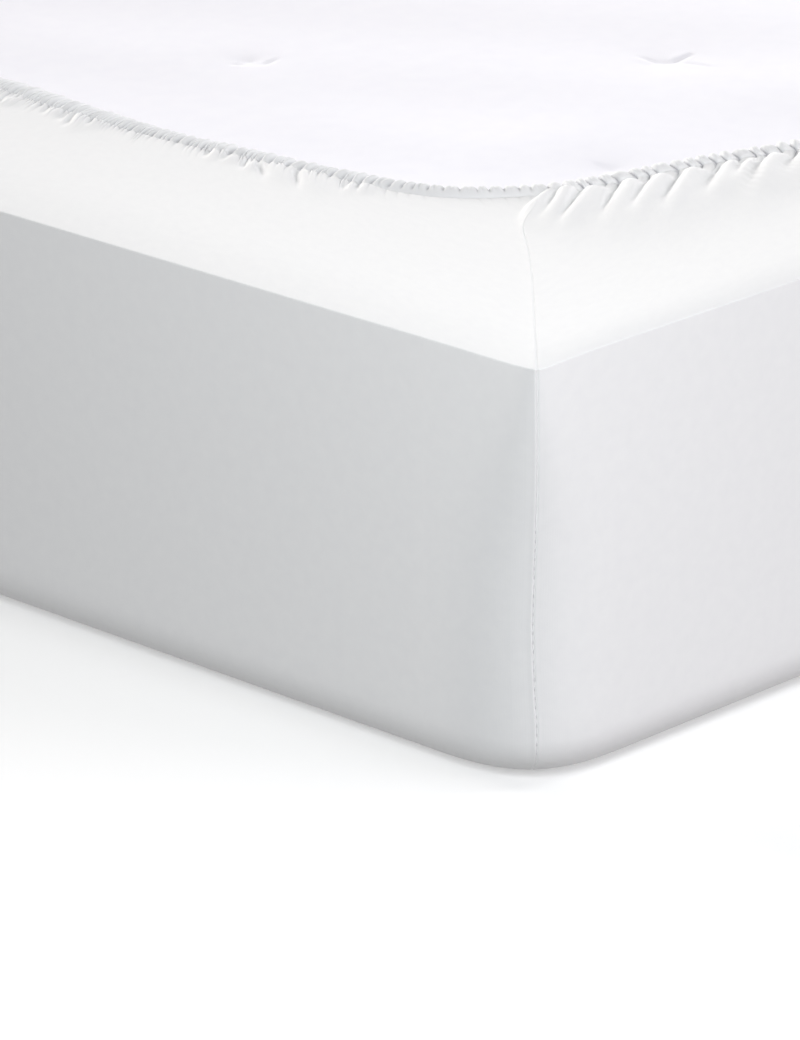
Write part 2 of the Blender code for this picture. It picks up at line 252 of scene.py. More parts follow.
hem = {
    "longReach": 0.470,       # how far from a corner the table ends, by side
    "shortReach": 0.400,
    "wander": 0.003,          # how far the inner edge sways, and its two paces
    "paces": (3.1, 1.7),
    "wanderFrom": (0.33, 0.45),   # how far from the photographed corner the sway sets in
    # columns of points in one gather
    "steps": (0.0, 0.06, 0.14, 0.23, 0.32, 0.41, 0.50, 0.60, 0.70, 0.80, 0.88, 0.95),
    "uneven": 0.26,           # how far a valley between two gathers is shifted, in gathers
    "lean": 0.25,             # how far a gather's crest leans over, in gathers
    "relief": 0.0027,         # height of the gathers
    "strengths": (0.60, 1.15),    # least and greatest share of that in one gather
    "carries": (0.0015, 0.0055),  # over what way past the stitches a gather dies away
    "crestPower": 0.6,        # below 1 the gathers are broad and their valleys narrow
    "pleats": (1, 2, 2),      # numbers of fine pleats that a gather can have
    "pleatPower": 0.8,
    "pleatFoot": 0.35,        # share of a pleat's height at the foot of its gather
    "middle": 0.68,           # share of a gather's height that lies below the cloth's level
    "past": 0.55,             # share of the relief just past the stitches
    "paintedShadeUnder": 0.70,      # painted shade starts below this share of the height
    "paintedShadeGain": 1.6,
    "channelPaintedShade": 0.08,          # painted shade laid evenly over the doubled cloth of the channel
    "slantFrom": 0.003,       # distance from the inner edge that the slant turns about
    "squareWay": (0.012, 0.060),  # where the rows swing over to the way to the upper edge
    "slideFrom": 0.022,       # where the gathers' sideways way starts to fade
    "foldEnd": 0.075,         # where the last fold has run out
    "dragReach": 0.014,       # how far past the stitches the gathers are dragged along
    "seed": 11,
}

# The channel around the elastic from its tucked-under edge over the crown to the stitch
# line. Columns: way from the inner edge to the stitches, height as a share of the crown,
# fixed height, direction of the gathers' relief outwards and up, strength of the relief.
channelRows = (
    (0.67, 0.00, -0.0011, 0.0, -0.3, 0.2),
    (0.43, 0.00, -0.0014, 0.0, -0.5, 0.4),
    (0.21, 0.00, -0.0013, -0.3, -0.6, 0.6),
    (0.08, 0.05, -0.0009, -0.8, -0.4, 0.8),
    (0.01, 0.25, -0.0004, -1.0, 0.0, 1.0),
    (0.02, 0.50, 0.0000, -0.9, 0.4, 1.0),
    (0.09, 0.75, 0.0000, -0.6, 0.8, 1.0),
    (0.19, 0.93, 0.0000, -0.2, 1.0, 1.0),
    (0.32, 1.00, 0.0000, 0.0, 1.0, 1.0),
    (0.46, 0.94, 0.0000, 0.1, 1.0, 1.0),
    (0.60, 0.80, 0.0000, 0.2, 1.0, 0.9),
    (0.73, 0.58, 0.0000, 0.3, 0.9, 0.8),
    (0.85, 0.34, 0.0000, 0.3, 0.9, 0.7),
    (0.94, 0.12, -0.0002, 0.3, 0.9, 0.6),
    (1.00, 0.00, -0.0006, 0.2, 0.9, 0.5),
    (1.06, 0.00, -0.0002, 0.1, 1.0, 0.7),
)
crownRow = 8
stitchRow = 14
# Rows of points past the stitches, by their distance from them
foldRows = (0.0017, 0.0029, 0.0043, 0.0059, 0.0077, 0.0098, 0.0122, 0.0149, 0.0180, 0.0216,
            0.0257, 0.0305, 0.0360, 0.0423, 0.0495, 0.0570)

# The main creases at the photographed corner, in millimetres from that corner, across and
# along. Each is a lobe with a sharp notch along the foot of its steeper side. Columns:
# height, start, end, sideways bend, width of the steeper and of the broader side, depth of
# the notch.
cornerFolds = (
    (3.0, (190, 163), (140, 134), -4.5, 1.9, 6.0, 0.6),
    (2.6, (197, 160), (146, 128), 0.0, 2.6, 4.5, 1.8),
    (3.1, (205, 152), (143, 115), 0.0, 3.0, 6.0, 2.3),
    (3.1, (225, 147.5), (155, 102), 0.0, 3.0, 6.0, 2.1),
    (3.1, (241, 143), (173, 100), 0.0, 3.0, 5.5, 2.0),
    (3.3, (258, 138.5), (181, 90), 0.0, 3.0, 6.0, 2.3),
    (3.1, (280, 133), (214, 93), 0.0, 3.0, 5.5, 2.0),
    (2.5, (291, 129), (245, 101), 0.0, 2.6, 4.5, 1.6),
    (3.2, (303, 126), (233, 83), 0.0, 3.0, 6.0, 2.2),
    (2.7, (321, 121), (266, 88), 0.0, 3.0, 5.5, 1.8),
    (1.2, (123, 456), (113, 450), 0.0, 2.2, 4.0, 1.2),
    (0.9, (125.5, 428.5), (116.5, 421.5), 0.0, 2.0, 3.5, 0.9),
    (1.0, (125.5, 416), (113, 407), 0.0, 2.0, 3.5, 1.1),
    (1.2, (127.5, 411.5), (107, 396), 0.0, 2.2, 4.0, 1.6),
    (1.0, (127.5, 399.5), (115.5, 391), 0.0, 2.0, 3.8, 1.1),
    (1.0, (130.5, 323), (116.5, 313), 0.0, 2.0, 3.8, 1.2),
    (0.8, (128, 310), (119, 304), 0.0, 2.0, 3.2, 0.9),
    (0.9, (127.5, 296), (117, 288), 0.0, 2.0, 3.2, 1.1),
    (1.1, (132, 288), (113, 263), 0.0, 3.2, 6.0, 1.5),
    (1.1, (135, 267), (111, 240.5), 0.0, 3.2, 6.0, 1.5),
    (0.9, (135, 238.5), (124, 230), 0.0, 2.0, 3.6, 1.1),
    (1.0, (139.5, 234), (126, 223), 0.0, 2.0, 3.8, 1.2),
)
# How every fold runs out
fold = {
    "onset": 0.004,           # half the way over which a fold sets in
    "lobeFade": (0.3, 1.3),   # where its lobe fades out, in lengths of the fold
    "notchFade": (0.25, 0.85),
    "widen": 0.5,             # how much wider the lobe is at the fold's end
    "notchAt": 2.0,           # where the notch lies, in widths of the steeper side
    "notchWidth": 0.0012,
}

# Profile across a corner seam. Columns: distance from the stitches, height.
seamProfile = (
    (-0.0060, 0.00000), (-0.0034, 0.00008), (-0.0022, 0.00026), (-0.0014, 0.00046),
    (-0.0009, 0.00050), (-0.0005, 0.00030), (-0.0002, -0.00030), (0.0001, -0.00055),
    (0.0004, -0.00030), (0.0008, 0.00004), (0.0014, 0.00012), (0.0024, 0.00004),
    (0.0060, 0.00000),
)
# How far a corner seam bends out of its straight way over the band, towards the long side.
# Columns: distance from the inner edge of the hem, bend.
seamBend = (
    (0.000, 0.0000), (0.005, 0.0002), (0.010, 0.0018), (0.0146, 0.0033), (0.022, 0.0048),
    (0.029, 0.0056), (0.047, 0.0062), (0.068, 0.0053), (0.095, 0.0030), (0.125, 0.0017),
    (0.170, 0.0011), (0.225, 0.0003), (0.260, 0.0000),
)
seamWindow = 0.022            # how far from the seam the cloth is drawn along with it
# How it sways on the wall, away from the long side. Columns: height, sway.
seamSway = (
    (0.018, 0.0022), (0.032, 0.0019), (0.050, 0.0005), (0.074, -0.0005), (0.090, -0.0001),
    (0.120, 0.0005), (0.151, 0.0009), (0.175, 0.0003), (0.197, 0.0000),
)
seamShare = {"band": 0.30, "wall": 0.80}      # how much of its profile shows
# Columns of points across each seam, by distance from it, and how far the others keep off
seamColumns = (-0.0034, -0.0028, -0.0022, -0.0018, -0.0014, -0.0011, -0.0009, -0.0007, -0.0005,
               -0.00035, -0.0002, -0.00005, 0.0001, 0.00025, 0.0004, 0.0006, 0.0008, 0.0011,
               0.0014, 0.0019, 0.0024, 0.0034)
seamClear = 0.0042
cornerSignX = np.array((-1.0, 1.0, 1.0, -1.0))
cornerSignY = np.array((-1.0, -1.0, 1.0, 1.0))


def smoothTable(table, share):
    # A smooth curve through the table's rows, read at a value of the first column.
    keys = [row[0] for row in table]
    upper = min(max(bisect.bisect_right(keys, share), 1), len(table) - 1)
    lower = upper - 1
    before = max(lower - 1, 0)
    after = min(upper + 1, len(table) - 1)
    step = keys[upper] - keys[lower]
    part = (share - keys[lower]) / step
    square = part * part
    cube = square * part
    values = []
    for column in range(1, len(table[0])):
        start = table[lower][column]
        end = table[upper][column]
        startSlope = (end - table[before][column]) / (keys[upper] - keys[before]) * step
        endSlope = (table[after][column] - start) / (keys[after] - keys[lower]) * step
        value = (2 * cube - 3 * square + 1) * start + (cube - 2 * square + part) * startSlope
        value += (3 * square - 2 * cube) * end + (cube - square) * endSlope
        values.append(value)
    return values


hemShares = np.linspace(-1.0, 1.0, 1601)
hemValues = np.array([smoothTable(hemCorner, share) for share in hemShares])


def smoothStep(values, low, high):
    share = np.clip((values - low) / (high - low), 0.0, 1.0)
    return share * share * (3.0 - 2.0 * share)


def bell(values):
    return np.exp(-0.5 * values ** 2)


def readTable(table, values):
    return np.interp(values, *zip(*table))


def unit(vectors):
    return vectors / np.hypot(*vectors.T)[:, None]


def runningSum(steps):
    return np.concatenate(((0.0,), np.cumsum(steps)))


def cornerCurve(power):
    # A quarter superellipse by its own length: how far in it is from the first wall and
    # from the second, in shares of the corner's reach.
    angle = np.linspace(0.0, math.pi / 2, 1201)
    radius = (np.cos(angle) ** power + np.sin(angle) ** power) ** (-1.0 / power)
    first = 1.0 - radius * np.cos(angle)
    second = 1.0 - radius * np.sin(angle)
    lengths = runningSum(np.hypot(np.diff(first), np.diff(second)))
    return lengths / lengths[-1], first, second


# A place round the sheet is one number from 0 to 8. Its whole part tells which stretch it
# is on: an even one is the corner of that side, an odd one is the wall that follows.
# Corner 0 is at -X -Y, and the count runs anticlockwise seen from above. Each corner has its
# seam in its middle.
seamPlaces = (0.5, 2.5, 4.5, 6.5)


def outline(places, inset, power):
    stretch = np.floor(places).astype(int) % 8
    share = places - np.floor(places)
    corner = stretch // 2
    reach = sheet["cornerReach"]

    def spot(corners, first, second):
        even = corners % 2 == 0
        fromLong = np.where(even, first, second)
        fromShort = np.where(even, second, first)
        x = cornerSignX[corners] * (sheet["width"] / 2 - inset - reach * fromLong)
        y = cornerSignY[corners] * (sheet["length"] / 2 - inset - reach * fromShort)
        return np.stack((x, y), 1)

    key, firstCurve, secondCurve = cornerCurve(power)
    bend = spot(corner, np.interp(share, key, firstCurve), np.interp(share, key, secondCurve))
    start = spot(corner, np.ones(len(places)), np.zeros(len(places)))
    end = spot((corner + 1) % 4, np.zeros(len(places)), np.ones(len(places)))
    straight = start + (end - start) * share[:, None]
    return np.where((stretch % 2 == 0)[:, None], bend, straight)


def runFromCorner(places):
    # The nearest corner, and how far the place is from it along the wall.
    stretch = np.floor(places).astype(int) % 8
    share = places - np.floor(places)
    corner = stretch // 2
    reach = sheet["cornerReach"]
    wall = np.where(corner % 2 == 0, sheet["width"], sheet["length"])
    run = reach + share * (wall - 2 * reach)
    late = run > wall / 2
    onCorner = stretch % 2 == 0
    nearest = np.where(onCorner | ~late, corner, (corner + 1) % 4)
    run = np.where(onCorner, (share - 0.5) * 2 * reach, np.where(late, run - wall, run))
    return nearest, run


def onLongSide(corner, run):
    return (run < 0) == (corner % 2 == 0)


def hemAt(places):
    # The inner edge of the hem, and the table's other values there.
    corner, run = runFromCorner(places)
    onLong = onLongSide(corner, run)
    reach = np.where(onLong, hem["longReach"], hem["shortReach"])
    far = np.abs(run)
    share = np.clip(far / reach, 0.0, 1.0)
    share = np.where(onLong, -share, share)
    value = {name: np.interp(share, hemShares, column) for name, column in zip(hemColumns, hemValues.T)}
    fromLong = np.where((far >= reach) & ~onLong, far, value["fromLong"])
    fromShort = np.where((far >= reach) & onLong, far, value["fromShort"])
    middle = np.where(onLong, sheet["length"], sheet["width"]) / 2
    toCorner = (1.0 - smoothStep(far, reach, middle)) * np.where(run < 0, 1.0, -1.0)
    value["slant"] *= toCorner
    value["drag"] = np.maximum(value["drag"], 0.0) * toCorner
    wander = hem["wander"] * np.sin(hem["paces"][0] * places) * np.sin(hem["paces"][1] * places)
    wander *= np.where(corner == 0, smoothStep(far, *hem["wanderFrom"]), 1.0)
    x = cornerSignX[corner] * (sheet["width"] / 2 - fromLong - wander)
    y = cornerSignY[corner] * (sheet["length"] / 2 - fromShort - wander)
    return np.stack((x, y), 1), value


def lengthsAlong(points):
    return runningSum(np.hypot(*np.diff(points, axis=0).T))


def planColumns():
    # The places of all columns of points, and where in its gather each one is.
    rng = random.Random(hem["seed"])
    marks = np.linspace(0.0, 8.0, 32001)
    rim, value = hemAt(marks)
    pitch = value["pitch"]
    phase = runningSum(np.diff(lengthsAlong(rim)) * 2.0 / (pitch[1:] + pitch[:-1]))
    count = int(round(phase[-1]))
    phase *= count / phase[-1]
    uneven = hem["uneven"]
    valleys = np.array([0.0] + [k + rng.uniform(-1, 1) * uneven for k in range(1, count)] + [count])
    widths = np.diff(valleys)
    phases = np.concatenate([valleys[:-1] + widths * step for step in hem["steps"]])
    places = np.interp(np.sort(phases), phase, marks)
    # closer columns across each corner seam
    stretch = 2 * sheet["cornerReach"]
    seams = [seam + offset / stretch for seam in seamPlaces for offset in seamColumns]
    keep = np.ones(len(places), bool)
    for seam in seamPlaces:
        keep &= np.abs(places - seam) * stretch > seamClear
    places = np.sort(np.concatenate((places[keep], seams)))
    here = np.interp(places, marks, phase)
    gather = np.clip(np.searchsorted(valleys, here, side="right") - 1, 0, count - 1)
    within = np.clip((here - valleys[gather]) / widths[gather], 0.0, 1.0)
    strength = np.array([rng.uniform(*hem["strengths"]) for _ in range(count)])[gather]
    carry = np.array([rng.uniform(*hem["carries"]) for _ in range(count)])[gather]
    pleats = np.array([rng.choice(hem["pleats"]) for _ in range(count)])[gather]
    # a gather is one soft bulge with fine pleats on it
    bulge = np.sin(math.pi * within) ** hem["crestPower"]
    pleat = np.abs(np.sin(math.pi * within * pleats)) ** hem["pleatPower"]
    pleat *= hem["pleatFoot"] + (1.0 - hem["pleatFoot"]) * bulge
    print("gathers:", count, "columns:", len(places))
    return places, bulge, pleat, strength, carry


def foldHeight(points, folds):
    # Sum of soft lobes and their notches, each on its own slightly bent line.
    total = np.zeros(len(points))
    farthest = fold["lobeFade"][1]
    for height, start, end, bend, steep, broad, notch, hand in folds:
        origin = np.array(start)
        chord = np.array(end) - origin
        length = math.hypot(*chord)
        direction = chord / length
        side = hand * np.array((-direction[1], direction[0]))
        offset = points - origin
        along = offset @ direction
        across = offset @ side
        # beyond 5.5 widths a lobe is too low to count
        near = (along > -0.005) & (along < farthest * length)
        near &= np.abs(across) < 5.5 * broad + abs(bend)
        share = np.clip(along[near] / length, 0.0, farthest)
        inner = np.minimum(share, 1.0)
        across = across[near] - 4.0 * bend * inner * (1.0 - inner)
        width = np.where(across < 0.0, steep, broad) * (1.0 + fold["widen"] * share)
        lobe = bell(across / width) * (1.0 - smoothStep(share, *fold["lobeFade"]))
        groove = bell((across + fold["notchAt"] * steep) / fold["notchWidth"])
        groove *= 1.0 - smoothStep(share, *fold["notchFade"])
        onset = smoothStep(along[near], -fold["onset"], fold["onset"])
        total[near] += onset * (height * lobe - notch * groove)
    return total


def cornerLobes(rng):
    # The photographed corner's folds, and the same kind of folds at the other corners,
    # where each is shifted by some millimetres and scaled.
    rows = []
    for corner, (signX, signY) in enumerate(zip(cornerSignX, cornerSignY)):
        for height, start, end, *sizes in cornerFolds:
            shiftX = shiftY = 0.0
            scale = 1.0
            if corner > 0:
                shiftX, shiftY = rng.uniform(-6, 6), rng.uniform(-2, 2)
                if start[0] < start[1]:
                    shiftX, shiftY = shiftY, shiftX
                scale = rng.uniform(0.55, 1.15)
            spots = []
            for across, along in (start, end):
                x = signX * (sheet["width"] / 2 - (across + shiftX) / 1000)
                y = signY * (sheet["length"] / 2 - (along + shiftY) / 1000)
                spots.append((x, y))
            bend, steep, broad, notch = (size / 1000 for size in sizes)
            rows.append((height * scale / 1000, *spots, bend, steep, broad, notch * scale, signX * signY))
    return rows


# Folds along the straight runs, by side: how far from a corner they start, the least and
# greatest way to the next one, length and height, and the widths of the steeper and of the
# broader side.
longSideFolds = {"from": 0.47, "gap": (0.007, 0.030), "length": (0.009, 0.024),
                 "height": (0.0009, 0.0017), "widths": (0.0016, 0.0032)}
shortSideFolds = {"from": 0.33, "gap": (0.011, 0.019), "length": (0.030, 0.070),
                  "height": (0.0018, 0.0031), "widths": (0.0027, 0.0056)}


def straightLobes(rng):
    rows = []
    marks = np.linspace(0.0, 8.0, 16001)
    rim, value = hemAt(marks)
    along = lengthsAlong(rim)
    travelled = 0.0
    while travelled < along[-1]:
        index = min(int(np.searchsorted(along, travelled)), len(marks) - 2)
        corner, run = (found[0] for found in runFromCorner(marks[index:index + 1]))
        kind = longSideFolds if onLongSide(corner, run) else shortSideFolds
        travelled += rng.uniform(*kind["gap"])
        if abs(run) < kind["from"]:
            continue
        tangent = rim[index + 1] - rim[index]
        tangent /= math.hypot(*tangent)
        normal = np.array((tangent[1], -tangent[0]))
        direction = normal + tangent * (1.1 * value["drag"][index] + rng.uniform(-0.15, 0.15))
        direction /= math.hypot(*direction)
        start = rim[index] + normal * value["stitchAt"][index] * 1.1
        length = rng.uniform(*kind["length"])
        height = rng.uniform(*kind["height"])
        hand = 1.0 if corner % 2 == 0 else -1.0
        end = start + direction * length
        rows.append((height, start, end, 0.0, *kind["widths"], 0.5 * height, hand))
    return rows


def seamHeight(places):
    # The lip and groove of a corner seam, by distance from its stitches.
    return readTable(seamProfile, runFromCorner(places)[1])


def seamPull(places):
    # How far a corner seam's bend draws the cloth along, 1 on the seam; its sign is the
    # way towards the long side.
    corner, run = runFromCorner(places)
    return np.exp(-(run / seamWindow) ** 2) * np.where(corner % 2 == 0, -1.0, 1.0)


def rimDirection(places):
    step = 1e-4
    return unit(hemAt(places + step)[0] - hemAt(places - step)[0])


def shapeHem(places, bulge, pleat, strength, carry, folds):
    # Rows of points from the tucked-under edge over the crown and the stitch line to the
    # far ends of the folds, and how much painted shade each point has.
    rim, value = hemAt(places)
    force, pitch, stitchAt = value["force"], value["pitch"], value["stitchAt"]
    outward = outline(places, sheet["lean"], sheet["browPower"]) - rim
    length = np.hypot(*outward.T)
    outward /= length[:, None]
    tangent = rimDirection(places)
    # the rows start square to the rim and swing over to the way to the upper edge
    sideways = (outward * tangent).sum(1)
    longer = 1.0 / np.sqrt(1.0 - sideways ** 2) - 1.0
    profile = bulge + (pleat - bulge) * value["fine"]
    lift = (profile - hem["middle"]) * strength * force
    # painted shade, strongest in the valleys between the gathers
    valley = hem["paintedShadeGain"] * (hem["paintedShadeUnder"] - profile) * np.minimum(force, 1.0)
    valley = np.clip(valley, 0.0, 1.0)
    seam = seamHeight(places) * seamShare["band"]
    drawn = seamPull(places)
    turn = hem["slantFrom"]
    rows = []
    hemPaintedShade = []

    def addRow(distance, height, outwardPush, rise, leanShare):
        square = 1.0 - smoothStep(distance, *hem["squareWay"])
        reach = distance * (1.0 + longer * square)
        slide = value["slant"] * np.clip(distance - turn, -turn, stitchAt - turn)
        slide += value["drag"] * np.clip(distance - stitchAt, 0.0, hem["dragReach"])
        slide *= 1.0 - smoothStep(distance, hem["slideFrom"], hem["foldEnd"])
        slide += readTable(seamBend, distance) * drawn - sideways * reach * square
        slide -= hem["lean"] * pitch * bulge * strength * leanShare
        plan = rim + outward * (reach + outwardPush)[:, None] + tangent * slide[:, None]
        fall = sheet["fall"] * (np.maximum(distance, 0.0) / length) ** 3
        rows.append(np.column_stack((plan, sheet["height"] - fall + height + rise)))

    for way, crownShare, fixed, outWay, upWay, relief in channelRows:
        reach = 1.0
        if len(rows) >= crownRow:
            reach = 1.0 - smoothStep(way - value["spread"], 0.0, 0.35)
        amount = hem["relief"] * relief * lift * reach
        leanShare = relief * reach * force * (0.2 + 0.8 * min(way / 0.6, 1.0))
        height = value["crown"] * crownShare + fixed
        addRow(stitchAt * way, height, amount * outWay, amount * upWay, leanShare)
        # painted shade: an even part over the channel, and more in the valleys
        hemPaintedShade.append(hem["channelPaintedShade"] + (1.0 - hem["channelPaintedShade"]) * valley * reach)
    for past in foldRows:
        fade = np.exp(-past / carry) * np.clip(value["spread"], 0.25, 1.0)
        amount = hem["relief"] * hem["past"] * lift * fade
        shown = smoothStep(past, 0.010, 0.020)
        addRow(stitchAt + past, seam * shown, 0.0, amount, force * 0.8 * fade)
        hemPaintedShade.append(valley * fade)
    for index, row in enumerate(rows[crownRow:], crownRow):
        row[:, 2] += foldHeight(row[:, :2], folds) * smoothStep(index, crownRow, stitchRow)
    return rows, np.concatenate(hemPaintedShade)


def bandRings(places, folds):
    # From the far ends of the folds over the band, the upper edge, the walls and the heel
    # to the sleeping panel.
    rim = hemAt(places)[0]
    edge = outline(places, sheet["lean"], sheet["browPower"])
    length = np.hypot(*(edge - rim).T)
    tangent = rimDirection(places)
    drawn = seamPull(places)
    seam = seamHeight(places)
    corner, run = runFromCorner(places)
    near = np.maximum(0.0, 1.0 - np.abs(run) / sheet["cornerReach"]) ** 2
    onLong = smoothStep(np.where(corner % 2 == 0, -run, run), -0.03, 0.03)
    roll, rollWidth = (short + (long - short) * onLong
                       for long, short in zip(sheet["longRoll"], sheet["shortRoll"]))
    brow = sheet["height"] - sheet["fall"] - roll - sheet["cornerSag"] * near
    browSine = math.sin(math.radians(sheet["browStart"]))

    def browPoints(degrees):
        angle = math.radians(degrees)
        height = brow - sheet["brow"] * (browSine - math.sin(angle))
        inset = sheet["brow"] * (1.0 - math.cos(angle)) + sheet["lean"]
        return outline(places, inset, sheet["browPower"]), height

    rings = []
    first = hem["foldEnd"] / length
    top = browPoints(sheet["browStart"])[0]
    for share in (0.0, 0.14, 0.30, 0.48, 0.64, 0.76, 0.84, 0.90, 0.94, 0.97, 0.99):
        far = first + (1.0 - first) * share
        target = edge * (1.0 - share) + top * share
        plan = rim + (target - rim) * far[:, None]
        plan += tangent * (readTable(seamBend, length * far) * drawn)[:, None]
        height = sheet["height"] - sheet["fall"] * far ** 3
        toEdge = np.minimum(length * (1.0 - far) / rollWidth, 1.0)
        height -= roll * (1.0 - toEdge) ** 2 + sheet["cornerSag"] * near * smoothStep(share, 0.4, 1.0)
        height += foldHeight(plan, folds) + seam * seamShare["band"]
        rings.append(np.column_stack((plan, height)))
    for degrees in (sheet["browStart"], 48, 24, 0):
        ring = np.column_stack(browPoints(degrees))
        share = seamShare["wall"] + (seamShare["band"] - seamShare["wall"]) * degrees / sheet["browStart"]
        rings.append(pushOut(ring, places, seam * share, degrees))
    seam = seam * seamShare["wall"]
    for share in (0.977, 0.955, 0.92, 0.87, 0.80, 0.70, 0.60, 0.49, 0.38, 0.29, 0.21, 0.16):
        tight = share ** sheet["powerRise"]
        power = sheet["floorPower"] + (sheet["browPower"] - sheet["floorPower"]) * tight
        rings.append(wallRing(places, share * sheet["height"], sheet["lean"] * share ** 3, power, seam))
    for degrees in (90, 76, 62, 48, 34, 20, 8, 0):
        angle = math.radians(degrees)
        height = sheet["heel"] * (1.0 - math.cos(angle))
        inset = sheet["heel"] * (1.0 - math.sin(angle))
        rings.append(wallRing(places, height, inset, sheet["floorPower"], seam * math.sin(angle)))
    return rings


def pushOut(ring, places, amount, degrees):
    # Moves points out along the rounding of the upper edge. The way comes from a rounder
    # outline, so that it turns evenly at a corner.
    angle = math.radians(degrees)
    away = unit(outline(places, 0.0, 2.4) - outline(places, 0.05, 2.4))
    ring[:, :2] += away * (amount * math.cos(angle))[:, None]
    ring[:, 2] += amount * math.sin(angle)
    return ring


def wallRing(places, height, inset, power, seam):
    sway = seamPull(places) * readTable(seamSway, height) * smoothStep(height, 0.0, 0.015)
    plan = outline(places - sway / (2 * sheet["cornerReach"]), inset, power)
    run = np.abs(runFromCorner(places)[1])
    away = np.minimum(run / hem["longReach"], 1.0)
    swell = sheet["swell"] * math.sin(math.pi * min(height / sheet["height"], 1.0))
    wave = swell * away * (0.5 - 0.5 * np.sin(sheet["swellPace"] * places))
    onLong = np.abs(plan[:, 0]) / sheet["width"] > np.abs(plan[:, 1]) / sheet["length"]
    plan[:, 0] -= np.where(onLong, np.copysign(wave, plan[:, 0]), 0.0)
    plan[:, 1] -= np.where(onLong, 0.0, np.copysign(wave, plan[:, 1]))
    ring = np.column_stack((plan, np.full(len(places), height)))
    return pushOut(ring, places, seam, 0)


def zipRings(lower, lowerPlaces, upper, upperPlaces):
    # Triangles between two rings whose points lie at different places.
    faces = []
    low = high = 0
    countLow, countHigh = len(lower), len(upper)
    while low < countLow or high < countHigh:
        lowNext = lowerPlaces[low + 1] if low + 1 < countLow else lowerPlaces[0] + 8.0
        highNext = upperPlaces[high + 1] if high + 1 < countHigh else upperPlaces[0] + 8.0
        if low < countLow and (high >= countHigh or lowNext <= highNext):
            faces.append((lower[low], upper[high % countHigh], lower[(low + 1) % countLow]))
            low += 1
        else:
            faces.append((lower[low % countLow], upper[high], upper[(high + 1) % countHigh]))
            high += 1
    return faces


def ringQuads(inner, outer):
    after = np.roll(inner, -1), np.roll(outer, -1)
    return np.stack((inner, outer, after[1], after[0]), 1)


def meshPiece(name, points, faces, uvs, normals, paintedShadePerPoint):
    # One piece of the sheet from a part of all its faces, with the whole sheet's normals and its painted
    # shade per point.
    used = np.unique(np.concatenate([np.asarray(face, int).ravel() for face in faces]))
    fresh = np.full(len(points), -1)
    fresh[used] = np.arange(len(used))
    mesh = bpy.data.meshes.new(name)
    lists = []
    for block in faces:
        lists += [tuple(fresh[list(face)]) for face in block]
    mesh.from_pydata(points[used].tolist(), [], lists)
    layer = mesh.uv_layers.new(name="cloth")
    corners = np.zeros(len(mesh.loops), int)
    mesh.loops.foreach_get("vertex_index", corners)
    spots = uvs[used][corners]
    # a face across the start of the count takes the cloth's far end too
    first = np.zeros(len(mesh.polygons), int)
    size = np.zeros(len(mesh.polygons), int)
    mesh.polygons.foreach_get("loop_start", first)
    mesh.polygons.foreach_get("loop_total", size)
    most = np.repeat(np.maximum.reduceat(spots[:, 0], first), size)
    whole = uvs[:, 0].max()
    spots[:, 0] += np.where(most - spots[:, 0] > whole / 2, whole, 0.0)
    layer.data.foreach_set("uv", spots.astype(np.float32).ravel())
    smoothAll(mesh)
    mesh.normals_split_custom_set_from_vertices(normals[used].tolist())
    # painted shade per point, as an attribute for the cloth's finish
    paintedShadeShare = mesh.attributes.new("paintedShadeShare", "FLOAT", "POINT")
    paintedShadeShare.data.foreach_set("value", paintedShadePerPoint[used].astype(np.float32))
    mesh.materials.append(jerseyFinish)
    mesh.update()
    return addObject(name, mesh)


def pointNormals(points, blocks):
    total = np.zeros_like(points)
    for block in blocks:
        first, second, third, last = (points[block[:, column]] for column in (0, 1, 2, -1))
        if block.shape[1] == 4:
            normal = np.cross(third - first, last - second)
        else:
            normal = np.cross(second - first, third - first)
        for column in range(block.shape[1]):
            np.add.at(total, block[:, column], normal)
    return total / np.maximum(np.linalg.norm(total, axis=1), 1e-12)[:, None]


